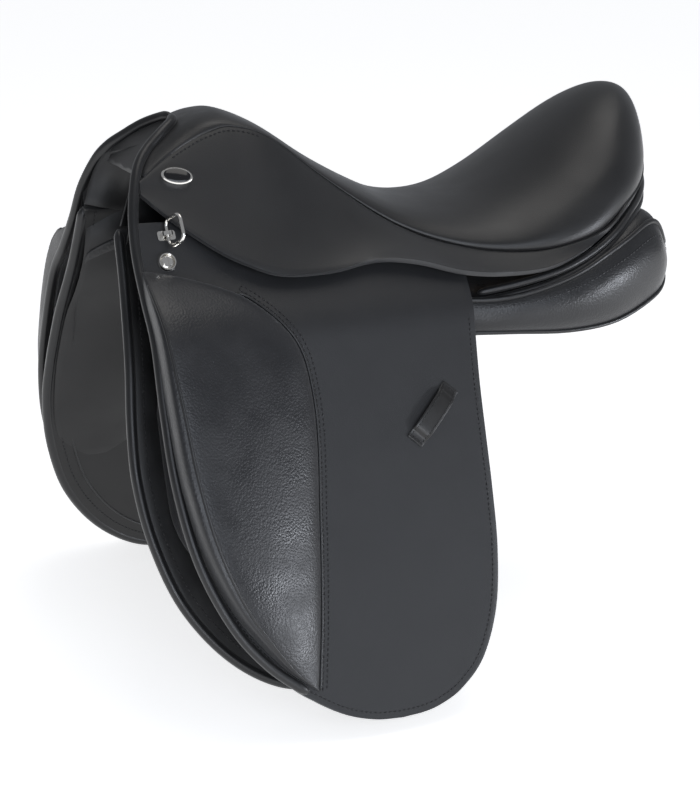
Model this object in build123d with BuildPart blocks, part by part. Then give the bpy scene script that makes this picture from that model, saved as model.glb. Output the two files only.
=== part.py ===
from build123d import *
import os

os.makedirs("parts", exist_ok=True)

# English dressage saddle, in millimetres. +X points to the pommel, +Y to the near (left) side, +Z up.
# The origin is the roof of the gullet channel under the deepest point of the seat.

# ---------------------------------------------------------------- driving dimensions
seat_half_width = 112.0  # widest part of the seat, at the cantle
cantle_centre_x = -120.0  # centre of the round cantle in plan
leather = 4.0  # skirts and edges
flap_leather = 4.5  # double leather of the outer flap
seat_leather = 2.5  # cover of the seat, which lies double with its lining
gap = 0.3  # clearance between neighbouring pieces

# Each sheet that hangs beside the horse keeps one profile in the YZ plane, given by its outer face.
flap_bend = (132.0, -14.0)
flap_slope = 0.40  # outward run for each millimetre down, below the bend
flap_bottom_z = -318.0
flap_profile = [
    (69.0, 66.0),
    (93.0, 26.0),
    flap_bend,
    (flap_bend[0] + flap_slope * (flap_bend[1] - flap_bottom_z + 6), flap_bottom_z - 6),
]
sweat_leather = 7.0
sweat_bend = (97.0, -44.0)
sweat_slope = 0.32
sweat_profile = [
    (46.0, 62.0),
    (72.0, 4.0),
    sweat_bend,
    (sweat_bend[0] + sweat_slope * 285, sweat_bend[1] - 285),
]

# The flap bends along a straight line just under the skirt: its two ends as (x, z).
flap_hinge_front = (271.0, 28.0)
flap_hinge_rear = (-8.0, -6.0)

# The skirt bends along a straight line from its front corner to the waist of the seat.
skirt_hinge_front = (255.0, 60.7, 88.0)
skirt_hinge_rear = (40.0, 104.0, 36.0)
skirt_low_point = (144.0, 115.0, 21.0)

# Top line of the tree in the XZ plane, from the head to the cantle.
tree_thickness = 8.0
tree_line = [(205, 113), (172, 112), (128, 92), (75, 58), (20, 26), (-30, 11.5), (-90, 11.5), (-150, 24),
             (-205, 50), (-222, 72)]

stirrup_bar_y = 80.0
stirrup_bar_z = 46.0
stirrup_bar_radius = 4.0
latch_pivot_x = 112.0
latch_reach = 11.0  # from the pivot to the centre of the rounded tip

dee_wire = 1.5  # radius of the ring's wire
dee_length = 26.0
dee_width = 21.0
dee_rest_turn = 20.0  # the ring rests turned this far back from square
dee_x, dee_z = 246.0, 55.0
screw_x, screw_z = 250.0, 36.0

billet_width = 25.0
billet_thickness = 4.0
billet_length = 225.0
billet_slope = 0.36
billet_pivot_y = 110.0
billet_pivot_z = -26.0
billet_x = {"front": 128.0, "rear": 66.0}


# ---------------------------------------------------------------- shared helpers
def save(piece, name):
    piece.part.label = name
    export_step(piece.part, f"parts/{name}.step")


def save_pair(piece, name):
    save(piece, f"{name}_left")
    with BuildPart() as other_side:
        mirror(piece.part, about=Plane.XZ)
    save(other_side, f"{name}_right")


def shifted(profile, distance):
    """The YZ profile moved square to its own run, towards +Y where distance is positive."""
    moved = []
    for index, point in enumerate(profile):
        before = Vector(*profile[max(index - 1, 0)])
        here = Vector(*point)
        after = Vector(*profile[min(index + 1, len(profile) - 1)])
        first = (here - before) if index else (after - here)
        second = (after - here) if index < len(profile) - 1 else first
        first = first.normalized()
        second = second.normalized()
        normal = Vector(-first.Y - second.Y, first.X + second.X).normalized()
        square = Vector(-first.Y, first.X)
        offset_point = here + normal * (distance / normal.dot(square))
        moved.append((offset_point.X, offset_point.Y))
    return moved


def height_on(profile, z):
    """Y of the profile's face at height z."""
    for (y0, z0), (y1, z1) in zip(profile, profile[1:]):
        if z1 <= z <= z0:
            return y0 + (y1 - y0) * (z0 - z) / (z0 - z1)
    y0, z0 = profile[0]
    return y0


def hinge_z(x):
    """Height of the flap's bending line at x."""
    (x0, z0), (x1, z1) = flap_hinge_front, flap_hinge_rear
    return z0 + (z1 - z0) * (x - x0) / (x1 - x0)


def band(outer, thickness):
    """Closed polygon of a sheet whose outer face is given, growing towards the horse."""
    return outer + shifted(outer, -thickness)[::-1]


def yz_section(x, points):
    """Face in the YZ plane at x with straight sides."""
    with BuildSketch(Plane.YZ.offset(x)) as section:
        with BuildLine():
            Polyline(*points, close=True)
        make_face()
    return section.sketch


def xz_outline(points):
    """Face in the XZ plane with straight sides."""
    with BuildSketch(Plane.XZ) as outline:
        with BuildLine():
            Polyline(*points, close=True)
        make_face()
    return outline.sketch


def ruled(stations):
    """Straight-ruled solid through YZ polygons, each given at its own x."""
    with BuildPart() as body:
        loft([yz_section(x, points) for x, points in stations], ruled=True)
    return body


def skirt_y(x, z):
    """Y of the moving skirt's plane, which holds the bending line and the lowest point."""
    a = Vector(*skirt_hinge_front)
    normal = (Vector(*skirt_hinge_rear) - a).cross(Vector(*skirt_low_point) - a)
    return a.Y - (normal.X * (x - a.X) + normal.Z * (z - a.Z)) / normal.Y


def skirt_hinge_z(x):
    x0, z0 = skirt_hinge_front[0], skirt_hinge_front[2]
    x1, z1 = skirt_hinge_rear[0], skirt_hinge_rear[2]
    return z0 + (z1 - z0) * (x - x0) / (x1 - x0)


# ---------------------------------------------------------------- tree
arch_outer = [(0, 121), (22, 116), (44, 96), (64, 58), (80, 18)]
rivet_spots = [(186, 84), (212, 84), (186, 66), (212, 66)]  # (x, z) through each leg of the arch
head_cut = [(240, 0), (240, 86), (204, 125), (204, 200), (300, 200), (300, 0)]


def tree_plan():
    """Outline of the tree seen from above, with the opening that the webbing crosses."""
    radius = seat_half_width - 17
    opening = [(128, 0), (122, 16), (75, 20), (20, 32), (-40, 44), (-85, 50), (-118, 30), (-122, 0)]
    with BuildSketch(Plane.XY) as plan:
        with BuildLine():
            Polyline((164, 0), (164, 38), (140, 42))
            Spline((140, 42), (60, 52), (-15, 74), (cantle_centre_x, radius), tangents=[(-1, 0.1), (-1, 0)])
            CenterArc((cantle_centre_x, 0), radius, 90, 90)
            Line((cantle_centre_x - radius, 0), (164, 0))
        make_face()
        with BuildLine():
            Polyline(*opening, close=True)
        make_face(mode=Mode.SUBTRACT)
        mirror(about=Plane.XZ)
    return plan.sketch


def profile_band(lower, upper):
    """Strip in the XZ plane between two distances above the tree's top line."""
    high = [(x, z + upper) for x, z in tree_line]
    low = [(x, z + lower) for x, z in tree_line]
    return xz_outline(high + low[::-1])


def arch_section(x, outside, inside):
    """Arch in the YZ plane between two depths under its outer line."""
    outer = shifted(arch_outer, -outside)
    inner = shifted(arch_outer, -inside)
    outer[0] = (0, arch_outer[0][1] - outside)
    inner[0] = (0, arch_outer[0][1] - inside)
    half = outer + inner[::-1]
    with BuildSketch(Plane.YZ.offset(x)) as section:
        with BuildLine():
            Polyline(*half, close=True)
        make_face()
        mirror(about=Plane.YZ)
    return section.sketch


def rivet_holes():
    with BuildSketch(Plane.XZ) as holes:
        with Locations(*rivet_spots):
            Circle(2.5)
    return holes.sketch


with BuildPart() as tree:
    extrude(profile_band(-tree_thickness, 0), amount=200, both=True)
    extrude(tree_plan(), amount=200, mode=Mode.INTERSECT)
    extrude(arch_section(160, 0, 9), amount=68)
    extrude(xz_outline(head_cut), amount=200, both=True, mode=Mode.SUBTRACT)
    extrude(rivet_holes(), amount=200, both=True, mode=Mode.SUBTRACT)
save(tree, "tree")


with BuildPart() as gullet_plate:
    extrude(arch_section(176, 9.05, 12), amount=46)
    extrude(xz_outline(head_cut), amount=200, both=True, mode=Mode.SUBTRACT)
    extrude(rivet_holes(), amount=200, both=True, mode=Mode.SUBTRACT)
save(gullet_plate, "gullet_plate")


def leg_rivet(x, z):
    """A rivet along Y through the arch leg, with a low round head on the inside."""
    face = height_on(arch_outer, z)
    with BuildPart() as rivet:
        with BuildSketch(Plane.XZ.offset(-(face - 1.5))):
            with Locations((x, z)):
                Circle(2.45)
        extrude(amount=14.5)
        with BuildSketch(Plane.XZ.offset(-(face - 16.0))):
            with Locations((x, z)):
                Circle(4.5)
        extrude(amount=1.6, taper=30)
    return rivet.part


with BuildPart() as gullet_rivets:
    for spot in rivet_spots:
        add(leg_rivet(*spot))
    mirror(about=Plane.XZ)
save(gullet_rivets, "gullet_rivets")


with BuildPart() as cantle_reinforcement:
    extrude(profile_band(-tree_thickness - 2.0, -tree_thickness - 0.1), amount=200, both=True)
    with BuildSketch(Plane((cantle_centre_x, 0, 0))):
        Circle(seat_half_width - 24)
        Circle(seat_half_width - 44, mode=Mode.SUBTRACT)
        with Locations((150, 0)):
            Rectangle(300, 400, mode=Mode.SUBTRACT)
    extrude(amount=200, mode=Mode.INTERSECT)
save(cantle_reinforcement, "cantle_reinforcement")


def rail_strip():
    """Narrow strip along one rail, seen from above."""
    with BuildSketch(Plane.XY) as strip:
        with BuildLine():
            Spline((150, 31), (75, 35), (20, 46), (-40, 62), (-100, 72))
        trace(line_width=14)
    return strip.sketch


with BuildPart() as spring_steel:
    extrude(profile_band(-tree_thickness - 2.0, -tree_thickness - 0.1), amount=200, both=True)
    extrude(rail_strip(), amount=200, mode=Mode.INTERSECT)
save_pair(spring_steel, "spring_steel")


with BuildPart() as webbing_lengthwise:
    extrude(profile_band(0.1, 1.9), amount=32, both=True)
    with BuildSketch(Plane.XY):
        with Locations((-20, 0)):
            Rectangle(270, 64)
    extrude(amount=200, mode=Mode.INTERSECT)
save(webbing_lengthwise, "webbing_lengthwise")


with BuildPart() as webbing_crosswise:
    extrude(profile_band(2.0, 3.8), amount=200, both=True)
    with BuildSketch(Plane.XY):
        with Locations((-62, 0)):
            Rectangle(44, 156)
        with Locations((8, 0)):
            Rectangle(44, 116)
    extrude(amount=200, mode=Mode.INTERSECT)
save(webbing_crosswise, "webbing_crosswise")


# ---------------------------------------------------------------- seat
# Stations of the seat: x, half width, floor, height of the side seam, height of the crown.
seat_stations = [
    (198, 34, 127, 130, 138.5),
    (172, 36, 127, 132, 142),
    (142, 42, 109, 122, 128),
    (98, 50, 80, 86, 98),
    (54, 65, 53, 54, 74),
    (20, 78, 33, 35, 59.5),
    (-20, 93, 18, 22, 53),
    (-60, 104, 17, 17.5, 58),
    (-100, 111, 18, 19, 77.5),
    (-140, 110, 28, 29, 106),
    (-175, 97.5, 43, 50, 128),
    (-200, 78.5, 56, 62, 138),
    (-218, 54, 68, 74, 138),
    (-229, 26, 80, 86, 122),
]
crown_shape = [(1.0, 0.0), (0.94, 0.16), (0.72, 0.50), (0.40, 0.83), (0.0, 1.0)]  # across, up


def seat_section(x, half_width, floor, seam_z, crown, inset):
    """Crowned section of the seat between its two side seams."""
    rise = crown - inset - seam_z
    side = [((half_width - inset) * across, seam_z + rise * up) for across, up in crown_shape]
    foot = [(half_width - inset, floor)]
    other = [(-y, z) for y, z in side[-2::-1]]
    return x, foot + side + other + [(inset - half_width, floor)]


with BuildPart() as seat_foam:
    inside = seat_stations[:-1] + [(-225, 34, 76, 82, 126)]
    add(ruled([seat_section(*station, 2 * seat_leather) for station in inside]).part)
save(seat_foam, "seat_foam")


# The cover runs on down each side of the head, in front of the skirt.
head_strip = [
    (197, [(0, 128), (0, 138), (28, 133), (34, 128)]),
    (208, [(2, 128), (2, 137.5), (30, 130), (37, 124)]),
    (223, [(19, 120), (19, 130), (39, 117), (39, 113)]),
    (240, [(28, 112), (28, 120), (44, 108), (43, 104)]),
    (257, [(45, 98), (46, 101), (51, 99), (50, 96)]),
]

with BuildPart() as seat_cover:
    add(ruled([seat_section(*station, 0) for station in seat_stations]).part)
    add(ruled(head_strip).part)
    mirror(ruled(head_strip).part, about=Plane.XZ)
    add(seat_foam.part, mode=Mode.SUBTRACT)
save(seat_cover, "seat_cover")


# ---------------------------------------------------------------- skirts
# Each skirt is sewn to the seat along a seam; behind the waist its lower edge is fixed too.
seam = [(254, 52, 100), (215, 41, 121), (172, 38, 132), (142, 44, 122), (98, 52, 87), (54, 66, 54), (40, 72, 45)]
rear_seam = [(40, 72, 45), (-2, 88, 27), (-40, 100, 20), (-80, 109, 17.5), (-125, 113, 24), (-150, 109, 32)]
rear_edge = [(40, 119, 21), (-2, 124, 12), (-40, 124, 5), (-80, 125, 3), (-125, 121, 16), (-150, 114, 30)]


def sheet_section(top, low, thickness):
    """Polygon of a straight strip of leather between its top and its low edge."""
    return band([top, low], thickness)


def skirt_cut():
    """Plane square to the moving skirt through its bending line, facing down the skirt."""
    hinge_line = Vector(*skirt_hinge_rear) - Vector(*skirt_hinge_front)
    face = hinge_line.cross(Vector(*skirt_low_point) - Vector(*skirt_hinge_front))
    return Plane(origin=skirt_hinge_front, z_dir=face.cross(hinge_line))


with BuildPart() as skirt_front:
    add(ruled([(x, sheet_section((y, z), (skirt_y(x, skirt_hinge_z(x)), skirt_hinge_z(x)), leather))
               for x, y, z in seam]).part)
    split(bisect_by=skirt_cut().offset(-gap / 2), keep=Keep.BOTTOM)

with BuildPart() as skirt_upper:
    add(skirt_front.part)
    add(ruled([(x, sheet_section((y, z), (edge_y, edge_z), leather))
               for (x, y, z), (_, edge_y, edge_z) in zip(rear_seam, rear_edge)]).part)
    add(seat_cover.part, mode=Mode.SUBTRACT)
    add(seat_foam.part, mode=Mode.SUBTRACT)
save_pair(skirt_upper, "skirt_upper")


def skirt_outline():
    """Side view of the moving skirt, from its bending line to its curved lower edge."""
    front_x, rear_x = 252.5, 40.6
    with BuildSketch(Plane.XZ) as outline:
        with BuildLine():
            Polyline((front_x, skirt_hinge_z(front_x) - 0.6), (rear_x, skirt_hinge_z(rear_x) - 0.6), (rear_x, 23))
            Spline((rear_x, 23), (80, 27.5), (116, 22.5), (150, 21), (184, 31), (213, 46), (235, 64),
                   (front_x, skirt_hinge_z(front_x) - 2))
            Line((front_x, skirt_hinge_z(front_x) - 2), (front_x, skirt_hinge_z(front_x) - 0.6))
        make_face()
    return outline.sketch


with BuildPart() as skirt:
    sections = []
    for x in (270, 30):
        top = (skirt_y(x, 110), 110)
        low = (skirt_y(x, 0), 0)
        sections.append((x, sheet_section(top, low, leather)))
    add(ruled(sections).part)
    extrude(skirt_outline(), amount=400, both=True, mode=Mode.INTERSECT)
    split(bisect_by=skirt_cut().offset(gap / 2), keep=Keep.TOP)
save_pair(skirt, "skirt")


badge_centre = Vector(229, 57.5, 98.5)
badge_normal = Vector(0.12, 0.80, 0.59)

with BuildPart() as badge:
    with BuildSketch(Plane(origin=badge_centre, x_dir=(-1, 0.25, -0.15), z_dir=badge_normal)):
        Ellipse(13, 7.5)
    extrude(amount=3, both=True)
    chamfer(badge.faces().sort_by(Axis(badge_centre, badge_normal))[-1].edges(), 0.8)
    add(skirt_upper.part, mode=Mode.SUBTRACT)
    add(badge.solids().sort_by(Axis(badge_centre, badge_normal))[-1], mode=Mode.INTERSECT)
save_pair(badge, "badge")


# ---------------------------------------------------------------- outer flap
def flap_band():
    """The flap's sheet of leather, before its outline is cut."""
    return yz_section(-60, band(flap_profile, flap_leather))


def on_flap_top(x, z):
    """Plane on the outer face of the flap's fixed top, local x along the saddle, z square out."""
    (y0, z0), (y1, z1) = flap_profile[:2]
    normal = Vector(0, z0 - z1, y1 - y0)
    return Plane(origin=(x, height_on(flap_profile, z), z), x_dir=(1, 0, 0), z_dir=normal)


def flap_outline():
    """Side view of the flap below its bending line."""
    front_x, rear_x = flap_hinge_front[0], flap_hinge_rear[0]
    with BuildSketch(Plane.XZ) as outline:
        with BuildLine():
            Polyline((rear_x, hinge_z(rear_x) - gap), (front_x, hinge_z(front_x) - gap), (272, -100))
            Spline((272, -100), (268, -168), (245, -234), (192, -288), (119, flap_bottom_z), (50, -302),
                   (16, -245), (5, -150), tangents=[(0, -1), (-0.06, 1)])
            Line((5, -150), (rear_x, hinge_z(rear_x) - gap))
        make_face()
    return outline.sketch


with BuildPart() as flap:
    extrude(flap_band(), amount=360)
    extrude(flap_outline(), amount=400, both=True, mode=Mode.INTERSECT)
save_pair(flap, "flap")


with BuildPart() as flap_upper:
    extrude(flap_band(), amount=360)
    front_x, rear_x = flap_hinge_front[0], flap_hinge_rear[0]
    top = [(front_x, 65), (206, 65), (198, 40), (176, 30), (96, 28), (rear_x, 9)]
    low = [(rear_x, hinge_z(rear_x)), (front_x, hinge_z(front_x))]
    extrude(xz_outline(top + low), amount=400, both=True, mode=Mode.INTERSECT)
    with BuildSketch(on_flap_top(screw_x, screw_z)):
        Circle(2.6)
    extrude(amount=20, both=True, mode=Mode.SUBTRACT)
save_pair(flap_upper, "flap_upper")


def knee_section(x, top_z, low_z, thickness):
    """Section of the knee roll: thin at its top seam, full below, standing off the flap's face."""
    below = [(y, z) for y, z in flap_profile if low_z < z < top_z - 20]
    faces = [top_z, top_z - 20] + [z for _, z in below] + [low_z]
    if not below:
        faces.insert(2, (top_z + low_z) / 2)
    inner = [(height_on(flap_profile, z), z) for z in faces]
    outer = shifted(inner, thickness)
    outer[0] = shifted(inner, 3)[0]
    outer[-1] = shifted(inner, min(thickness, 5))[-1]
    return x, outer + [(inner[-1][0] - 8, inner[-1][1]), (inner[0][0] - 8, inner[0][1])]


knee_stations = [
    (271, 20, -138, 20),
    (256, 20, -204, 27),
    (232, 17, -250, 27),
    (206, 12, -274, 22),
    (184, -6, -288, 14),
    (160, -34, -256, 6),
]

with BuildPart() as knee_roll:
    add(ruled([knee_section(*station) for station in knee_stations]).part)
    reach = [(0, 80)] + shifted(flap_profile, 0.05) + [(0, flap_bottom_z - 6)]
    extrude(yz_section(-60, reach), amount=360, mode=Mode.SUBTRACT)
    extrude(xz_outline([(280, hinge_z(280) - 1), (120, hinge_z(120) - 1), (120, 90), (280, 90)]),
            amount=400, both=True, mode=Mode.SUBTRACT)
save_pair(knee_roll, "knee_roll")


# The keeper is a short strap across the flap that leaves a slot for the end of the stirrup leather.
keeper_centre_x = 49.0
keeper_centre_z = -96.0
keeper_slot = 6.5
keeper_strap = 2.2
face_normal = Vector(0, 1, flap_slope).normalized()
face_down = Vector(0, flap_slope, -1).normalized()
keeper_origin = Vector(keeper_centre_x, height_on(flap_profile, keeper_centre_z), keeper_centre_z)
keeper_long = (Vector(1, 0, 0) + face_down).normalized()

with BuildPart() as flap_keeper:
    keeper_seat = keeper_origin + face_normal * 0.05
    across = Plane(origin=keeper_seat, x_dir=keeper_long, z_dir=keeper_long.cross(face_normal))
    with BuildSketch(across):
        with BuildLine():
            Polyline((-27, 0), (-21, 0), (-21, keeper_slot), (21, keeper_slot), (21, 0), (27, 0),
                     (27, keeper_slot + keeper_strap), (-27, keeper_slot + keeper_strap), close=True)
        make_face()
    extrude(amount=8, both=True)
save_pair(flap_keeper, "flap_keeper")


# ---------------------------------------------------------------- pommel welt
with BuildPart() as pommel_welt:
    welt_x = flap_hinge_front[0] + 5.2
    route = [(210, 0, 138), (222, 20, 133), (250, 40, 115), (262, 54, 96), (welt_x, 72, 66), (welt_x, 89, 33)]
    with BuildLine():
        FilletPolyline(*route, radius=18)
    with BuildSketch(Plane(origin=route[-1], z_dir=Vector(*route[-1]) - Vector(*route[-2]))):
        Circle(4.6)
    sweep()
    with BuildSketch(Plane.XZ):
        with BuildLine():
            Polyline((0, 0), (400, 0), (400, 300), (0, 300), close=True)
        make_face()
    extrude(amount=-200, mode=Mode.INTERSECT)
    mirror(about=Plane.XZ)
    add(seat_cover.part, mode=Mode.SUBTRACT)
save(pommel_welt, "pommel_welt")


# ---------------------------------------------------------------- sweat flap and thigh block
def sweat_outline():
    """Side view of the sweat flap, the under flap that lies on the panel."""
    with BuildSketch(Plane.XZ) as outline:
        with BuildLine():
            Polyline((40, -36), (96, 12), (150, 40), (200, 60), (276, 60), (281, 0), (288, -50))
            Spline((288, -50), (293, -127), (283, -189), (254, -254), (195, -308), (140, -314), (70, -296),
                   (34, -220), (30, -130), tangents=[(0.1, -1), (0, 1)])
            Line((30, -130), (40, -36))
        make_face()
    return outline.sketch


with BuildPart() as sweat_flap:
    extrude(yz_section(0, band(sweat_profile, sweat_leather)), amount=320)
    extrude(sweat_outline(), amount=400, both=True, mode=Mode.INTERSECT)
save_pair(sweat_flap, "sweat_flap")


def thigh_section(x, top_z, low_z, thickness):
    """Section of the thigh block that stands on the sweat flap's outer face."""
    inner = [(height_on(sweat_profile, z) + gap, z) for z in (top_z, low_z)]
    outer = shifted(inner, thickness)
    return x, [outer[0], outer[1], inner[1], inner[0]]


with BuildPart() as thigh_block:
    add(ruled([thigh_section(194, -80, -196, 12), thigh_section(222, -56, -218, 32),
               thigh_section(256, -50, -205, 34), thigh_section(268, -60, -180, 26)]).part)
save_pair(thigh_block, "thigh_block")


# ---------------------------------------------------------------- panels
def under_sweat(z, depth):
    """Y of a point inside the sweat flap at height z, depth behind its inner face."""
    return height_on(shifted(sweat_profile, -sweat_leather - depth), z)


panel_stations = [
    (-224, [(54, -4), (78, 2), (90, -14), (82, -32), (58, -27), (48, -14)]),
    (-204, [(38, 30), (84, 34), (108, -2), (98, -48), (54, -38), (36, -10)]),
    (-160, [(34, 12), (98, 16), (122, -20), (107, -64), (50, -48), (34, -14)]),
    (-110, [(33, -2), (104, -6), (126, -34), (111, -66), (48, -46), (33, -20)]),
    (-50, [(33, -4), (102, -20), (120, -38), (110, -57), (48, -40), (33, -20)]),
    (0, [(33, -4), (90, -14), (102, -30), (96, -50), (48, -36), (33, -20)]),
    (28, [(33, -4), (62, -4), (under_sweat(-20, 1), -20), (under_sweat(-64, 1), -64), (52, -48), (33, -22)]),
    (90, [(33, 2), (54, 8), (under_sweat(-20, 1), -20), (under_sweat(-76, 1), -76), (64, -68), (35, -22)]),
    (160, [(34, 8), (52, 14), (under_sweat(-24, 1), -24), (under_sweat(-104, 1), -104), (78, -104), (42, -24)]),
    (225, [(38, 22), (46, 28), (under_sweat(-24, 1), -24), (under_sweat(-124, 1), -124), (94, -128), (50, -20)]),
    (268, [(44, 26), (49, 30), (under_sweat(-20, 1), -20), (under_sweat(-128, 1), -128), (106, -130), (60, -18)]),
]

with BuildPart() as panel:
    add(ruled(panel_stations).part)
save_pair(panel, "panel")


with BuildPart() as gullet_lining:
    lining = [(128, 2), (60, 1), (-60, 1), (-120, 6)]
    raised = [(x, z + 1.4) for x, z in lining]
    extrude(xz_outline(raised + lining[::-1]), amount=32, both=True)
save(gullet_lining, "gullet_lining")


with BuildPart() as cantle_facing:
    with BuildSketch(Plane((cantle_centre_x, 0, 36))):
        Circle(seat_half_width - 9)
        Circle(seat_half_width - 12, mode=Mode.SUBTRACT)
        with Locations((130, 0)):
            Rectangle(360, 400, mode=Mode.SUBTRACT)
    extrude(amount=40)
    floor_line = [(x, floor - gap) for x, _, floor, _, _ in seat_stations if x < cantle_centre_x]
    under_seat = xz_outline(floor_line + [(-240, 0), (cantle_centre_x - 20, 0)])
    extrude(under_seat, amount=200, both=True, mode=Mode.INTERSECT)
    for neighbour in (panel, tree):
        add(neighbour.part, mode=Mode.SUBTRACT)
save(cantle_facing, "cantle_facing")


# ---------------------------------------------------------------- hardware on the flap's top
with BuildPart() as flap_screw:
    with BuildSketch(on_flap_top(screw_x, screw_z).offset(1.2)):
        Circle(4.4)
    extrude(amount=2.2)
    chamfer(flap_screw.edges().filter_by(GeomType.CIRCLE).sort_by(Axis.Y)[-1], 0.7)
    with BuildSketch(on_flap_top(screw_x, screw_z).offset(2.6)):
        Rectangle(1.2, 10)
    extrude(amount=2, mode=Mode.SUBTRACT)
    with BuildSketch(on_flap_top(screw_x, screw_z).offset(1.2)):
        Circle(2.5)
    extrude(amount=-8)
save_pair(flap_screw, "flap_screw")


with BuildPart() as cup_washer:
    washer_plane = on_flap_top(screw_x, screw_z)
    with BuildSketch(Plane(origin=washer_plane.origin, x_dir=(1, 0, 0), z_dir=-washer_plane.y_dir)):
        with BuildLine():
            Polyline((2.7, 0.05), (8, 0.05), (8, 1.0), (7, 3.0), (6.2, 3.0), (5.2, 1.15), (2.7, 1.15), close=True)
        make_face()
    revolve(axis=Axis(washer_plane.origin, washer_plane.z_dir))
save_pair(cup_washer, "cup_washer")


dee_plane = on_flap_top(dee_x, dee_z)
dee_pivot = dee_plane.origin + dee_plane.z_dir * 4.4
dee_out = dee_plane.z_dir.rotate(Axis((0, 0, 0), dee_plane.y_dir), -dee_rest_turn)

with BuildPart() as dee_ring:
    with BuildLine(Plane(origin=dee_pivot, x_dir=dee_out, z_dir=dee_out.cross(dee_plane.y_dir))) as ring_path:
        half = dee_length / 2 - dee_wire
        far = dee_width - dee_wire
        FilletPolyline((0, half), (far, half), (far, -half), (0, -half), radius=6, close=True)
    with BuildSketch(Plane(origin=ring_path.line @ 0, z_dir=ring_path.line % 0)):
        Circle(dee_wire)
    sweep()
save_pair(dee_ring, "dee_ring")


with BuildPart() as dee_staple:
    with BuildSketch(dee_plane.offset(0.05)):
        RectangleRounded(15, 8, 2)
    extrude(amount=1.2)
    across = Plane(origin=dee_pivot, x_dir=(1, 0, 0), z_dir=dee_plane.y_dir)
    with BuildSketch(across):
        Circle(4.4)
        Circle(2.1, mode=Mode.SUBTRACT)
        with Locations((0, 10)):
            Rectangle(20, 20, mode=Mode.SUBTRACT)
        with Locations((3.25, 1.6), (-3.25, 1.6)):
            Rectangle(2.3, 3.2)
    extrude(amount=1.8, both=True)
save_pair(dee_staple, "dee_staple")


# ---------------------------------------------------------------- stirrup bar
def bar_plate_side():
    """Back plate of the stirrup bar, which follows the slope of the arch leg."""
    leg = arch_outer[-2:]
    outer = shifted(leg, 3.0)
    inner = shifted(leg, 0.05)
    cut = [(height_on(inner, z), z) for z in (55, 30)] + [(height_on(outer, z), z) for z in (30, 55)]
    return yz_section(168, cut)


with BuildPart() as stirrup_bar:
    extrude(bar_plate_side(), amount=34)
    lug_start = 70.45
    with BuildSketch(Plane.XZ.offset(-lug_start)):
        with Locations((184, stirrup_bar_z)):
            RectangleRounded(20, 10, 2)
    extrude(amount=-(stirrup_bar_y + 1 - lug_start))
    with BuildSketch(Plane.YZ.offset(latch_pivot_x + 6.5)):
        with Locations((stirrup_bar_y, stirrup_bar_z)):
            Circle(stirrup_bar_radius)
    extrude(amount=190 - latch_pivot_x - 6.5)
    with BuildSketch(Plane.XZ.offset(-(stirrup_bar_y - 1.8))):
        with Locations((latch_pivot_x, stirrup_bar_z)):
            Circle(3.6)
        with Locations((latch_pivot_x + 4, stirrup_bar_z)):
            Rectangle(8, 5)
    extrude(amount=-3.6)
    with BuildSketch(Plane.XZ):
        with Locations((latch_pivot_x, stirrup_bar_z)):
            Circle(1.5)
    extrude(amount=-200, mode=Mode.SUBTRACT)
save_pair(stirrup_bar, "stirrup_bar")


with BuildPart() as latch_pin:
    with BuildSketch(Plane.XZ.offset(-(stirrup_bar_y - 5.4))):
        with Locations((latch_pivot_x, stirrup_bar_z)):
            Circle(1.48)
    extrude(amount=-10.8)
save_pair(latch_pin, "latch_pin")


with BuildPart() as bar_latch:
    with BuildSketch(Plane.XZ.offset(-(stirrup_bar_y - 4))):
        with Locations((latch_pivot_x - latch_reach / 2, stirrup_bar_z)):
            SlotCenterToCenter(latch_reach, 8)
        with Locations((latch_pivot_x, stirrup_bar_z)):
            Circle(1.54, mode=Mode.SUBTRACT)
    extrude(amount=-8)
    with BuildSketch(Plane.XZ.offset(-(stirrup_bar_y - 2.1))):
        with Locations((latch_pivot_x, stirrup_bar_z)):
            Circle(5)
        with Locations((latch_pivot_x + 5, stirrup_bar_z)):
            Rectangle(10, 10)
    extrude(amount=-4.2, mode=Mode.SUBTRACT)
save_pair(bar_latch, "bar_latch")


# ---------------------------------------------------------------- girthing
def billet_hang(z):
    """Y of the billets' middle plane at height z."""
    return billet_pivot_y + billet_slope * (billet_pivot_z - z)


web_top = {"front": [(49, 76), (61.3, 36.5)], "rear": [(69, 44)]}

for place, centre_x in billet_x.items():
    with BuildPart() as girth_web:
        web = web_top[place] + [(92, 6), (billet_hang(-11) + 1, -11)]
        extrude(yz_section(centre_x - 16, band(web, 2)), amount=32)
    save_pair(girth_web, f"girth_web_{place}")

    with BuildPart() as billet:
        normal = Vector(0, 1, billet_slope).normalized()
        hang = Plane(origin=(centre_x, billet_pivot_y, billet_pivot_z), x_dir=(1, 0, 0), z_dir=normal)
        with BuildSketch(hang.offset(-billet_thickness / 2)):
            with Locations((0, billet_length / 2)):
                SlotCenterToCenter(billet_length, billet_width, rotation=90)
            with Locations(*[(0, billet_length - 18 - 25 * hole) for hole in range(6)]):
                SlotOverall(7, 4, rotation=90, mode=Mode.SUBTRACT)
        extrude(amount=billet_thickness)
    save_pair(billet, f"billet_{place}")
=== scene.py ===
import math

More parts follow.
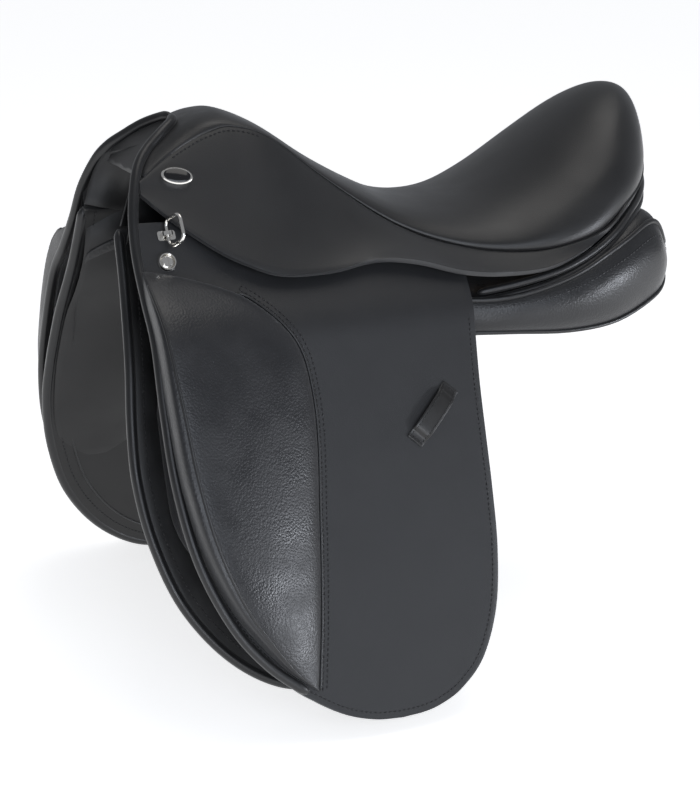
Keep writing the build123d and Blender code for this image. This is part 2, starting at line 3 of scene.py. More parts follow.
import bmesh
import bpy
import numpy as np
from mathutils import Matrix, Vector


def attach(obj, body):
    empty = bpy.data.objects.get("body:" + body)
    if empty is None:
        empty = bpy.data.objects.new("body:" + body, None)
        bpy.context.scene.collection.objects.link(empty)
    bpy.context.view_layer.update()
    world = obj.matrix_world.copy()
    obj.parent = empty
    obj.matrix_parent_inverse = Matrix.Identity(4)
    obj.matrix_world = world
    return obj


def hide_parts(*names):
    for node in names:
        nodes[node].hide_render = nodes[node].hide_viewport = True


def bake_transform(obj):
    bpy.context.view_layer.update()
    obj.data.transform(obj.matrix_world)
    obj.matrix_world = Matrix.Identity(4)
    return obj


# Black English dressage saddle. Lists of points are in millimetres in the row frame and are
# turned into metres when a mesh is made: +X to the pommel, +Y to the near side, +Z up.
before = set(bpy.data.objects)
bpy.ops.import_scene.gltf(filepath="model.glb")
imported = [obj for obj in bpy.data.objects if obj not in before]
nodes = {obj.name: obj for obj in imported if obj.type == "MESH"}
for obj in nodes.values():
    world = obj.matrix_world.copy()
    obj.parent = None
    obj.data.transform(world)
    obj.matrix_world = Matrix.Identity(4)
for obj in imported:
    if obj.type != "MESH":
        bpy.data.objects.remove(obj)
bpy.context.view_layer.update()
scene = bpy.context.scene
MM = 0.001  # metres in a millimetre
SIDES = (1, -1)  # the near side, then its mirror image


# ---------------------------------------------------------------- curves and meshes
def catmull(points, per, closed=False):
    """Smooth run through rows of numbers, with per steps between neighbours."""
    rows = np.asarray(points, float)
    count = len(rows)

    def row(i):
        if closed:
            return rows[i % count]
        if i < 0:
            return 2 * rows[0] - rows[1]
        if i >= count:
            return 2 * rows[-1] - rows[-2]
        return rows[i]

    out = []
    for i in range(count if closed else count - 1):
        a, b, c, d = row(i - 1), row(i), row(i + 1), row(i + 2)
        for k in range(per):
            t = k / per
            out.append(0.5 * (2 * b + (c - a) * t + (2 * a - 5 * b + 4 * c - d) * t * t
                              + (3 * b - a - 3 * c + d) * t**3))
    if not closed:
        out.append(rows[-1])
    return np.array(out)


def even(points, step):
    """The same line with its points a fixed step apart."""
    pts = np.asarray(points, float)
    run = np.concatenate([[0], np.cumsum(np.linalg.norm(np.diff(pts, axis=0), axis=1))])
    count = max(2, int(round(run[-1] / step)) + 1)
    at = np.linspace(0, run[-1], count)
    return np.stack([np.interp(at, run, pts[:, k]) for k in range(pts.shape[1])], 1)


def mirrored(points):
    return np.asarray(points, float) * np.array([1.0, -1.0, 1.0])


def new_object(name, verts, faces, material, smooth=True):
    mesh = bpy.data.meshes.new(name)
    mesh.from_pydata([tuple(v) for v in np.asarray(verts, float) * MM], [], faces)
    mesh.validate()
    work = bmesh.new()
    work.from_mesh(mesh)
    bmesh.ops.remove_doubles(work, verts=work.verts, dist=1e-6)
    bmesh.ops.recalc_face_normals(work, faces=work.faces)
    work.to_mesh(mesh)
    work.free()
    obj = bpy.data.objects.new(name, mesh)
    scene.collection.objects.link(obj)
    for item in material if isinstance(material, (list, tuple)) else [material]:
        mesh.materials.append(item)
    for polygon in mesh.polygons:
        polygon.use_smooth = smooth
    return obj


def grid(name, rows, material, closed_v=False, cap=False):
    """Quads through a table of points; closed_v joins each row's ends, cap closes the end rows."""
    table = np.asarray(rows, float)
    m, n = table.shape[:2]
    faces = []
    for i in range(m - 1):
        for j in range(n if closed_v else n - 1):
            j2 = (j + 1) % n
            faces.append((i * n + j, i * n + j2, (i + 1) * n + j2, (i + 1) * n + j))
    if cap:
        faces.append(tuple(range(n)))
        faces.append(tuple(range((m - 1) * n, m * n)))
    return new_object(name, table.reshape(-1, 3), faces, material)


def facing(obj, direction):
    """Turns an open sheet so that its faces look along direction on average."""
    total = Vector((0, 0, 0))
    for polygon in obj.data.polygons:
        total += polygon.normal * polygon.area
    if total.dot(Vector(direction)) < 0:
        obj.data.flip_normals()


def ease_edges(obj, width, segments, angle):
    """Rounds each edge that turns more than angle degrees."""
    bevel = obj.modifiers.new("edge", "BEVEL")
    bevel.width = width * MM
    bevel.segments = segments
    bevel.limit_method = "ANGLE"
    bevel.angle_limit = math.radians(angle)


def thicken(obj, thickness, edge, rim=None):
    """Gives an open sheet its thickness, inwards from its face, and eases its cut edges."""
    solid = obj.modifiers.new("thickness", "SOLIDIFY")
    solid.thickness = thickness * MM
    solid.offset = -1
    if rim is not None:
        solid.material_offset_rim = rim
    ease_edges(obj, edge, 2, 50)


def soften(obj):
    """One subdivision, in the view and in the render."""
    sub = obj.modifiers.new("smooth", "SUBSURF")
    sub.levels = sub.render_levels = 1


def frames_along(path):
    """Unit tangents and two unit normals that don't twist along a line."""
    tangents = np.gradient(path, axis=0)
    tangents /= np.linalg.norm(tangents, axis=1)[:, None]
    first = np.cross(tangents[0], [0, 0, 1.0])
    if np.linalg.norm(first) < 0.2:
        first = np.cross(tangents[0], [0, 1.0, 0])
    normals = [first / np.linalg.norm(first)]
    for t in tangents[1:]:
        n = normals[-1] - t * (normals[-1] @ t)
        normals.append(n / np.linalg.norm(n))
    normals = np.array(normals)
    return tangents, normals, np.cross(tangents, normals)


def tube(name, points, radius, material, sides=12):
    """Round piping along a line, closed to a soft point at both ends."""
    path = even(points, 3.0)
    tangents, normals, others = frames_along(path)
    radii = np.full(len(path), float(radius))
    for k, share in enumerate([0.25, 0.72, 0.93][: len(path) // 2]):
        radii[k] *= share
        radii[-1 - k] *= share
    angle = np.linspace(0, 2 * math.pi, sides, endpoint=False)
    rows = [p + r * (np.outer(np.cos(angle), a) + np.outer(np.sin(angle), b))
            for p, r, a, b in zip(path, radii, normals, others)]
    return grid(name, rows, material, closed_v=True, cap=True)


# Along a stitch: share of its length, of its width and of its height.
STITCH_SHAPE = ((0.0, 0.45, -0.25), (0.18, 1.0, 0.75), (0.5, 1.0, 1.0), (0.82, 1.0, 0.75), (1.0, 0.45, -0.25))


def stitch_run(name, points, normals, material, length=2.7, gap=1.5, width=0.5):
    """A row of short thread stitches lying on a surface along a line."""
    height, turns = 0.35, 6
    joined = np.hstack([np.asarray(points, float), np.asarray(normals, float)])
    run = np.concatenate([[0], np.cumsum(np.linalg.norm(np.diff(joined[:, :3], axis=0), axis=1))])
    verts, faces = [], []
    at = gap
    while at + length < run[-1]:
        ends = []
        for s in (at, at + length / 2, at + length):
            ends.append(np.array([np.interp(s, run, joined[:, k]) for k in range(6)]))
        up = ends[1][3:] / np.linalg.norm(ends[1][3:])
        along = ends[2][:3] - ends[0][:3]
        along /= np.linalg.norm(along)
        side = np.cross(up, along)
        base = len(verts)
        for share, w, h in STITCH_SHAPE:
            centre = ends[0][:3] * (1 - share) + ends[2][:3] * share
            for turn in range(turns):
                angle = math.pi * turn / 3
                verts.append(centre + side * (width * w * math.cos(angle))
                             + up * (height * (h - 0.6) + height * 0.7 * w * math.sin(angle)))
        for ring in range(4):
            for turn in range(turns):
                a = base + ring * turns + turn
                b = base + ring * turns + (turn + 1) % turns
                faces.append((a, b, b + turns, a + turns))
        faces.append(tuple(range(base + turns - 1, base - 1, -1)))
        faces.append(tuple(range(base + 4 * turns, base + 5 * turns)))
        at += length + gap
    return new_object(name, verts, faces, material)


def soft_copy(name, node, material, bevel):
    """A leather or foam piece with the CAD solid's true outline, its edges eased and its faces smooth."""
    source = nodes[node]
    mesh = source.data.copy()
    mesh.materials.clear()
    mesh.materials.append(material)
    obj = bpy.data.objects.new(name, mesh)
    scene.collection.objects.link(obj)
    work = bmesh.new()
    work.from_mesh(mesh)
    bmesh.ops.remove_doubles(work, verts=work.verts, dist=2e-5)
    bmesh.ops.dissolve_limit(work, angle_limit=math.radians(1.0), verts=work.verts, edges=work.edges)
    work.to_mesh(mesh)
    work.free()
    for polygon in mesh.polygons:
        polygon.use_smooth = True
    ease_edges(obj, bevel, 3, 30)
    obj.modifiers.new("weighted", "WEIGHTED_NORMAL").keep_sharp = True
    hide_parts(node)
    return obj


# ---------------------------------------------------------------- materials
def new_material(name):
    mat = bpy.data.materials.new(name)
    mat.use_nodes = True
    return mat, mat.node_tree, mat.node_tree.nodes["Principled BSDF"]


def add_node(tree, kind, values=(), **settings):
    """A shader node, with its settings and with the inputs that values names."""
    made = tree.nodes.new("ShaderNode" + kind)
    for key, value in settings.items():
        setattr(made, key, value)
    for key, value in dict(values).items():
        made.inputs[key].default_value = value
    return made


def blended(tree, factor, first, second):
    """The colour between two as factor says, as a socket."""
    tone = add_node(tree, "Mix", {6: (*first, 1), 7: (*second, 1)}, data_type="RGBA")
    tree.links.new(factor, tone.inputs[0])
    return tone.outputs[2]


def scaled(colour, share):
    return [c * share for c in colour]


def leather(name, colour, rough, cell, depth, sheen=0.12, rough_spread=0.08, edge_lift=0.35):
    """Leather with pebbles of about 1/cell metres, pores, an uneven polish and a lighter, greyer colour on
    its sharp convex edges.
    """
    mat, tree, shader = new_material(name)
    link = tree.links.new
    shader.inputs["Specular IOR Level"].default_value = 0.5
    shader.inputs["Sheen Weight"].default_value = sheen
    shader.inputs["Sheen Roughness"].default_value = 0.45
    place = add_node(tree, "TexCoord")
    pebbles = add_node(tree, "TexVoronoi", {"Scale": cell, "Smoothness": 0.35}, feature="SMOOTH_F1")
    pores = add_node(tree, "TexNoise", {"Scale": cell * 2.3, "Detail": 3.0})
    creases = add_node(tree, "TexNoise", {"Scale": 34.0, "Detail": 4.0})
    for texture in (pebbles, pores, creases):
        link(place.outputs["Object"], texture.inputs["Vector"])

    relief = add_node(tree, "Mix", {0: 0.28}, data_type="FLOAT")
    link(pebbles.outputs["Distance"], relief.inputs[2])
    link(pores.outputs["Fac"], relief.inputs[3])
    bump = add_node(tree, "Bump", {"Strength": 0.55, "Distance": depth}, invert=True)
    link(relief.outputs[0], bump.inputs["Height"])
    link(bump.outputs["Normal"], shader.inputs["Normal"])

    polish = add_node(tree, "MapRange", {"From Min": 0.3, "From Max": 0.7, "To Min": rough - rough_spread,
                                         "To Max": rough + rough_spread})
    link(creases.outputs["Fac"], polish.inputs["Value"])
    link(polish.outputs["Result"], shader.inputs["Roughness"])

    tone = blended(tree, creases.outputs["Fac"], scaled(colour, 0.9), scaled(colour, 1.12))
    # Lighter, greyer colour on sharp convex edges, found from the mesh's pointiness.
    edge = add_node(tree, "NewGeometry")
    edge_mask = add_node(tree, "MapRange", {"From Min": 0.54, "From Max": 0.66, "To Max": edge_lift})
    link(edge.outputs["Pointiness"], edge_mask.inputs["Value"])
    edge_tone = add_node(tree, "Mix", {7: (0.055, 0.056, 0.060, 1)}, data_type="RGBA")
    link(edge_mask.outputs["Result"], edge_tone.inputs[0])
    link(tone, edge_tone.inputs[6])
    link(edge_tone.outputs[2], shader.inputs["Base Color"])
    return mat


def metal(name, colour, rough):
    """Metal with a slightly uneven polish."""
    mat, tree, shader = new_material(name)
    shader.inputs["Metallic"].default_value = 1.0
    place = add_node(tree, "TexCoord")
    haze = add_node(tree, "TexNoise", {"Scale": 160.0, "Detail": 5.0})
    tree.links.new(place.outputs["Object"], haze.inputs["Vector"])
    spread = add_node(tree, "MapRange", {"To Min": max(0.02, rough - 0.05), "To Max": rough + 0.05})
    tree.links.new(haze.outputs["Fac"], spread.inputs["Value"])
    tree.links.new(spread.outputs["Result"], shader.inputs["Roughness"])
    tree.links.new(blended(tree, haze.outputs["Fac"], scaled(colour, 0.9), colour),
                   shader.inputs["Base Color"])
    return mat


def weave(name, colour, scale, rough=0.9):
    """Woven webbing or thread, with ribs both ways."""
    mat, tree, shader = new_material(name)
    shader.inputs["Roughness"].default_value = rough
    place = add_node(tree, "TexCoord")
    both = add_node(tree, "Math", operation="MULTIPLY")
    for slot, direction in enumerate("XY"):
        rib = add_node(tree, "TexWave", {"Scale": scale}, bands_direction=direction)
        tree.links.new(place.outputs["Object"], rib.inputs["Vector"])
        tree.links.new(rib.outputs["Fac"], both.inputs[slot])
    bump = add_node(tree, "Bump", {"Distance": 0.0004})
    tree.links.new(both.outputs["Value"], bump.inputs["Height"])
    tree.links.new(bump.outputs["Normal"], shader.inputs["Normal"])
    tree.links.new(blended(tree, both.outputs["Value"], scaled(colour, 0.6), colour),
                   shader.inputs["Base Color"])
    return mat


def wood(name, light, dark):
    """Laminated wood, with its layers one above the other."""
    mat, tree, shader = new_material(name)
    shader.inputs["Roughness"].default_value = 0.45
    place = add_node(tree, "TexCoord")
    ply = add_node(tree, "TexWave", {"Scale": 90.0, "Distortion": 2.5, "Detail": 3.0}, bands_direction="Z")
    tree.links.new(place.outputs["Object"], ply.inputs["Vector"])
    tree.links.new(blended(tree, ply.outputs["Fac"], dark, light), shader.inputs["Base Color"])
    return mat


seat_leather = leather("seat_leather", (0.0075, 0.0075, 0.0080), 0.39, 1150, 0.00018, rough_spread=0.04)
skirt_leather = leather("skirt_leather", (0.0085, 0.0087, 0.0095), 0.43, 1300, 0.00010, rough_spread=0.03)
flap_leather = leather("flap_leather", (0.0085, 0.0090, 0.0105), 0.47, 1150, 0.00014, rough_spread=0.025)
grain_leather = leather("grain_leather", (0.0100, 0.0104, 0.0122), 0.37, 540, 0.00042)
panel_leather = leather("panel_leather", (0.0085, 0.0088, 0.0100), 0.35, 560, 0.00042)
# Lining leather with its colour halved: painted shade for the far side's inner faces, the sweat flaps' inner
# edges and the head's lining.
lining_leather = leather("lining_leather", (0.0042, 0.0042, 0.0046), 0.44, 1400, 0.00010, sheen=0.04)
strap_leather = leather("strap_leather", (0.0070, 0.0066, 0.0064), 0.34, 1200, 0.00012)
edge_paint = leather("edge_paint", (0.020, 0.0205, 0.022), 0.38, 900, 0.00008, edge_lift=0.5)
welt_leather = leather("welt_leather", (0.0060, 0.0062, 0.0070), 0.36, 1200, 0.00010)
thread = weave("thread", (0.030, 0.030, 0.033), 900, 0.55)
pale_thread = weave("pale_thread", (0.10, 0.10, 0.105), 900, 0.6)
webbing = weave("webbing", (0.22, 0.22, 0.21), 260)
nickel = metal("nickel", (0.86, 0.84, 0.80), 0.12)
forged = metal("forged_steel", (0.56, 0.56, 0.57), 0.34)
pressed = metal("pressed_steel", (0.40, 0.41, 0.43), 0.42)
tree_wood = wood("tree_wood", (0.50, 0.36, 0.21), (0.30, 0.19, 0.10))
enamel = leather("enamel", (0.006, 0.006, 0.007), 0.12, 2500, 0.00001, sheen=0.0, rough_spread=0.03)


# ---------------------------------------------------------------- surfaces that several pieces follow
FLAP_FACE = [(66, 69), (26, 93), (-14, 132), (-324, 256)]  # height, distance from the centre plane
SWEAT_FACE = [(62, 46), (4, 72), (-44, 97), (-329, 188.2)]


def face_y(face, z, blur=13.0):
    """Distance of a hanging sheet's outer face from the centre plane, its bends made round."""
    heights = [h for h, _ in face][::-1]
    sides = [s for _, s in face][::-1]
    total = 0.0
    for shift, weight in ((-1, 1), (-0.6, 2), (-0.2, 3), (0.2, 3), (0.6, 2), (1, 1)):
        h = z + shift * blur
        slope_low = (sides[1] - sides[0]) / (heights[1] - heights[0])
        slope_high = (sides[-1] - sides[-2]) / (heights[-1] - heights[-2])
        if h < heights[0]:
            value = sides[0] + slope_low * (h - heights[0])
        elif h > heights[-1]:
            value = sides[-1] + slope_high * (h - heights[-1])
        else:
            value = float(np.interp(h, heights, sides))
        total += weight * value
    return total / 12.0


def on_face(face, x, z, off=0.0):
    """Point at (x, z) on a hanging sheet, lifted square off it, and the outward normal there."""
    slope = (face_y(face, z + 0.5) - face_y(face, z - 0.5))
    normal = np.array([0.0, 1.0, -slope])
    normal /= np.linalg.norm(normal)
    return np.array([x, face_y(face, z), z]) + normal * off, normal


def lay_on(face, line, off):
    """Points along a line on a hanging sheet, lifted off it, and the normals there."""
    found = [on_face(face, x, z, off) for x, z in line]
    return np.array([p for p, _ in found]), np.array([n for _, n in found])


# The skirt's flat part lies through the two ends of its bend and its lowest point.
SKIRT_A = np.array([255.0, 60.7, 88.0])
SKIRT_B = np.array([40.0, 104.0, 36.0])
SKIRT_LOW = np.array([144.0, 115.0, 21.0])
SKIRT_NORMAL = np.cross(SKIRT_B - SKIRT_A, SKIRT_LOW - SKIRT_A)


def skirt_y(x, z):
    """Distance of the skirt's flat part from the centre plane."""
    dx, _, dz = SKIRT_NORMAL / SKIRT_NORMAL[1]
    return SKIRT_A[1] - (dx * (x - SKIRT_A[0]) + dz * (z - SKIRT_A[2]))


# The ends of the flap's bend.
FLAP_HINGE = (np.array([271.0, 91.8, 28.0]), np.array([-8.0, 124.2, -6.0]))


def side_name(base, side):
    return f"{base}_{'left' if side > 0 else 'right'}"


def to_side(points, side):
    return np.asarray(points, float) if side > 0 else mirrored(points)


def fold(obj, side, base, a, b, down, reach):
    """Bakes the piece's transform into its mesh; the hinge line from a to b and the down direction are worked
    out, but the piece is not bent. reach is not used.
    """
    axis = (b - a) / np.linalg.norm(b - a)
    down = down - axis * (down @ axis)
    down /= np.linalg.norm(down)
    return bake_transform(obj)


def bend_with_flap(obj, side):
    return fold(obj, side, "flap", *FLAP_HINGE, np.array([0, 0.78, -0.9]), 9)


def bend_with_skirt(obj, side):
    return fold(obj, side, "skirt", SKIRT_A, SKIRT_B, SKIRT_LOW - SKIRT_A, 8)


# ---------------------------------------------------------------- seat
# x, half width, floor height, seam height, crown height
SEAT_STATIONS = [
    (172, 37.5, 129, 132, 142), (142, 43.5, 112, 122, 129), (98, 51.5, 80, 87, 99), (54, 65.5, 50, 54, 74),
    (20, 79, 33, 35.5, 59.5), (-20, 94, 22, 23, 53.5), (-60, 104.5, 17, 18, 58), (-100, 111.5, 18, 19.5, 77),
    (-140, 110, 27, 29, 105), (-175, 98, 43, 49, 128), (-200, 80, 56, 62, 138.5), (-218, 56, 68, 74, 138),
    (-229, 31, 78, 85, 128), (-235, 10, 90, 96, 116),
]
# Across the seat from its seam to its middle: share of the half width, share of the rise.
CROWN = [(0.955, -0.07), (1.0, 0.05), (0.97, 0.24), (0.845, 0.51), (0.62, 0.77), (0.32, 0.945), (0.0, 1.0)]
# The head's narrow strip, in rows from the side to the middle, and the height of the floor under each.
HEAD_FLOORS = [94, 103, 112, 121]
HEAD_ROWS = [
    [(259, 54, 97), (259.5, 50, 100), (251, 39, 110.5), (241, 29.5, 119.5), (227, 19.5, 128), (216, 9.5, 134),
     (211, 0, 136)],
    [(236, 45.7, 110), (234.5, 43.5, 114), (229, 36, 121), (221, 26, 128.5), (212, 16, 134), (206, 8, 137.2),
     (203, 0, 138.2)],
    [(215, 40.3, 120.3), (213.5, 39.5, 124), (210, 33.5, 130.5), (205, 24.5, 135.5), (200, 15, 138.6),
     (197, 7.5, 140), (196, 0, 140.5)],
    [(194, 37.8, 128.2), (193.5, 38, 131), (192.5, 34.5, 135.5), (190.5, 26.5, 139), (188.5, 17, 141.2),
     (187.5, 8.5, 142), (187, 0, 142.3)],
]


half_rows = [np.array(row, float) for row in HEAD_ROWS]
for x, half_width, _, seam, crown in SEAT_STATIONS:
    half_rows.append(np.array([(x, half_width * across, seam + (crown - seam) * up) for across, up in CROWN]))
floors = HEAD_FLOORS + [station[2] for station in SEAT_STATIONS]
seat_rows = []
for row, floor in zip(half_rows, floors):
    full = np.vstack([row, mirrored(row[:-1])[::-1]])
    full = catmull(full, 5)
    edge = row[0]
    low = [(edge[0], edge[1] * 0.93, min(edge[2] - 1, floor)), (edge[0], edge[1] * 0.5, floor + 1)]
    under = np.vstack([mirrored(low), np.array([(edge[0], 0, floor + 1.0)]), np.array(low)[::-1]])
    seat_rows.append(np.vstack([full, under]))
seat_rows = catmull(seat_rows, 4)
seat = grid("seat", seat_rows, seat_leather, closed_v=True, cap=True)
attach(seat, "tree")
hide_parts("seat_cover", "seat_foam")
soften(seat)


# ---------------------------------------------------------------- skirts
SKIRT_THICKNESS, FLAP_THICKNESS, SWEAT_THICKNESS = 4.4, 4.0, 6.2
RIM = 1  # the material of a sheet's cut edge
CANTLE_ROW = 15  # the row of the skirt from which its strip turns round the cantle
SEAM = [(260, 55, 96.5), (236, 46.3, 110), (215, 41, 120.3), (194, 38.5, 128), (172, 38, 131), (142, 44, 121),
        (98, 52, 86), (54, 66, 53), (20, 79.5, 34.5), (-10, 91, 25), (-40, 100, 19), (-80, 109, 17),
        (-118, 113, 22), (-150, 109, 31), (-175, 98.5, 47), (-200, 80.5, 60), (-218, 57, 71), (-230, 31, 81),
        (-235, 0, 86)]
LOW_EDGE = [(261, 87), (244, 71), (227, 57), (209, 44), (190, 33.5), (160, 22.6), (116, 21.6), (74, 26.5)]
REAR_LOW = [(38, 115.5, 22.5), (0, 122, 11.5), (-38, 124, 6), (-82, 124, 6), (-120, 118.5, 15.5),
            (-148, 110, 27), (-173, 98, 41), (-198, 78.5, 54), (-216, 55.5, 65), (-228, 29, 74),
            (-233, 0, 78)]
low_edge = [(x, skirt_y(x, z), z) for x, z in LOW_EDGE] + REAR_LOW


def skirt_rows():
    rows = []
    for index, (top, low) in enumerate(zip(SEAM, low_edge)):
        top, low = np.array(top, float), np.array(low, float)
        span = low - top
        length = np.linalg.norm(span)
        out = np.cross(span, [1.0, 0, 0])
        if out[1] < 0:
            out = -out
        out = out / (np.linalg.norm(out) or 1)
        if index >= CANTLE_ROW:
            out = np.array([-abs(top[0] + 120), top[1], 40.0])
            out /= np.linalg.norm(out)
        hollow = min(1.2, length * 0.02)
        rows.append([top - out * 2.5 - span / length * 2.0, top, top + span * 0.22 + out * hollow * 0.35,
                     top + span * 0.5 - out * hollow * 0.5,
                     top + span * 0.78 - out * hollow * 0.7, low])
    return catmull([catmull(row, 4) for row in rows], 6)


SKIRT_ROWS = skirt_rows()
for side in SIDES:
    skirt = grid(side_name("skirt_sheet", side), [to_side(r, side) for r in SKIRT_ROWS],
                 [skirt_leather, edge_paint])
    facing(skirt, (0, side, 0.6))
    thicken(skirt, SKIRT_THICKNESS, 0.9, RIM)
    bend_with_skirt(skirt, side)
    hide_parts(side_name("skirt_upper", side), side_name("skirt", side))

    line, ups = [], []
    for column in range(8, 30):  # the front of the seam, 7 mm below it
        across = even(SKIRT_ROWS[column], 1.0)
        spot = min(7, len(across) - 2)
        line.append(across[spot])
        ahead = SKIRT_ROWS[column + 1][5] - SKIRT_ROWS[column - 1][5]
        n = np.cross(across[spot + 1] - across[spot - 1], ahead)
        n = n if n[1] > 0 else -n
        ups.append(n / np.linalg.norm(n))
    stitches = stitch_run(side_name("skirt_seam_stitch", side),
                          to_side(np.array(line) + np.array(ups) * 0.35, side), to_side(ups, side), thread)
    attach(stitches, "tree")


# ---------------------------------------------------------------- flaps
# Outlines as (x, z) on the sheet.
FRONT_EDGE = [(271.5, 66), (272, 30), (274, -20), (276, -75), (275, -130), (266, -185), (248, -233),
              (214, -276), (190, -295), (166, -308.5), (142, -316), (119, -318.5)]
REAR_EDGE = [(-8, 10), (-6, -8), (-2, -45), (1, -80), (3, -120), (5, -160), (9, -205), (19, -250), (38, -286),
             (62, -306), (84, -315), (102, -318), (119, -318.5)]
TOP_EDGE = [(271.5, 66), (206, 64), (198, 40), (176, 30), (96, 28), (-8, 10)]


def spread_along(line, at):
    """The points of a line of numbers at these shares of its length."""
    own = np.linspace(0, 1, len(line))
    return np.stack([np.interp(at, own, line[:, k]) for k in (0, 1)], 1)


def flap_table():
    """Rows across the flap, the first along its top edge and the rest straight from front to rear."""
    columns, per = 40, 7
    front = catmull(FRONT_EDGE, per)
    rear = catmull(REAR_EDGE, per)
    top = spread_along(even(TOP_EDGE, 1.0), np.linspace(0, 1, columns))
    rows = []
    for i, (f, r) in enumerate(zip(front, rear)):
        share = np.linspace(0, 1, columns)[:, None]
        straight = f * (1 - share) + r * share
        keep = max(0.0, 1 - i / per)
        line = top * keep + straight * (1 - keep) if keep else straight
        rows.append([on_face(FLAP_FACE, x, z)[0] for x, z in line])
    return np.array(rows)


def inset_line(line, centre, distance):
    """An open outline moved towards a point inside it."""
    pts = np.asarray(line, float)
    tangent = np.gradient(pts, axis=0)
    tangent /= np.linalg.norm(tangent, axis=1)[:, None]
    normal = np.stack([-tangent[:, 1], tangent[:, 0]], 1)
    flip = np.sign(np.sum(normal * (np.array(centre) - pts), axis=1))
    return pts + normal * flip[:, None] * distance


KNEE_SEAM = [(275, 32), (261, 29), (244, 25), (227, 20), (209, 14), (192, 6), (177, -6), (166, -18),
             (158, -32), (154, -50), (153, -80), (156, -112), (162, -150), (169, -195), (177, -240),
             (183, -268), (187, -287)]
KNEE_FRONT = [(274, 31), (276, 21), (278, 2), (279, -32), (279, -75), (277, -122), (268, -172), (250, -217),
              (227, -250), (207, -272), (187, -287)]


def knee_rows():
    """Knee roll: a deep gusset at the front, a full top, and a roll that dies away at its seam."""
    seam = even(catmull(KNEE_SEAM, 8), 2.0)
    front = even(catmull(KNEE_FRONT, 8), 2.0)
    at = np.linspace(0, 1, 46)
    heights = catmull([(0.0, 3.0), (0.07, 17.0), (0.2, 26.0), (0.4, 29.0), (0.62, 27.0), (0.8, 19.0),
                       (0.93, 8.0), (1.0, 1.5)], 12)
    profile = [(0.0, 0.0), (-0.008, 0.30), (-0.012, 0.62), (-0.006, 0.90), (0.02, 1.02), (0.10, 1.05),
               (0.24, 0.99), (0.42, 0.86), (0.60, 0.69), (0.76, 0.52), (0.87, 0.38), (0.94, 0.25),
               (0.98, 0.12), (1.0, 0.0)]
    profile = catmull(profile, 2)
    rows = []
    for share, f, s in zip(at, spread_along(front, at), spread_along(seam, at)):
        height = float(np.interp(share, heights[:, 0], heights[:, 1]))
        row = []
        for across, up in profile:
            x, z = f * (1 - across) + s * across
            row.append(on_face(FLAP_FACE, x, z, 0.3 + height * up)[0])
        rows.append(row)
    return np.array(rows)


KNEE_ROWS = knee_rows()
knee_seam = even(catmull(KNEE_SEAM, 8), 2.0)
FLAP_MIDDLE, REAR_MIDDLE, SWEAT_MIDDLE = (130, -140), (60, -60), (160, -140)
for side in SIDES:
    flap = grid(side_name("flap_sheet", side), [to_side(r, side) for r in flap_table()],
                [flap_leather, edge_paint])
    facing(flap, (0, side, 0.4))
    thicken(flap, FLAP_THICKNESS, 0.9, RIM)
    bend_with_flap(flap, side)
    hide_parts(side_name("flap", side), side_name("flap_upper", side))

    knee = grid(side_name("knee_pad", side), [to_side(r, side) for r in KNEE_ROWS], grain_leather)
    facing(knee, (0, side, 0.4))
    soften(knee)
    bend_with_flap(knee, side)
    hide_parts(side_name("knee_roll", side))

    ridge = KNEE_ROWS[2:-2, 9]
    piping = tube(side_name("knee_front_welt", side), to_side(ridge, side), 1.5, welt_leather, sides=8)
    bend_with_flap(piping, side)

    for label, gap_off in (("a", 3.2), ("b", 6.8)):
        line = inset_line(knee_seam, REAR_MIDDLE, gap_off)
        pts, ups = lay_on(FLAP_FACE, line, 0.2)
        row = stitch_run(side_name(f"knee_seam_stitch_{label}", side), to_side(pts, side), to_side(ups, side),
                         thread)
        bend_with_flap(row, side)
    pts, ups = lay_on(FLAP_FACE, inset_line(knee_seam, REAR_MIDDLE, 1.0), 0.6)
    crease = tube(side_name("knee_seam_welt", side), to_side(pts, side), 1.3, welt_leather, sides=8)
    bend_with_flap(crease, side)

    edge_line = even(np.vstack([catmull(REAR_EDGE, 8), catmull(FRONT_EDGE[::-1], 8)[1:]])[12:-34], 2.0)
    pts, ups = lay_on(FLAP_FACE, inset_line(edge_line, FLAP_MIDDLE, 5.0), 0.2)
    row = stitch_run(side_name("flap_edge_stitch", side), to_side(pts, side), to_side(ups, side), thread)
    bend_with_flap(row, side)


# ---------------------------------------------------------------- pommel and flap welts
for side in SIDES:
    head = [(211.5, 0, 138), (216, 12, 135.5), (229, 23, 129), (243, 31, 119.5), (254, 40, 110),
            (262, 50.5, 96.5), (270, 66, 71), (273.5, 82, 42)]
    lower = [on_face(FLAP_FACE, x, z, off)[0] for x, z, off in
             ((275.5, 12, 0), (277.5, -18, 1), (280, -70, 3), (279.5, -125, 4), (271, -180, 4),
              (251, -229, 3), (226, -262, 2), (196, -287, 1))]
    welt = tube(side_name("flap_welt", side), to_side(even(catmull(np.vstack([head, lower]), 8), 3.0), side),
                4.4, welt_leather)
    bend_with_flap(welt, side)
    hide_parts("pommel_welt")


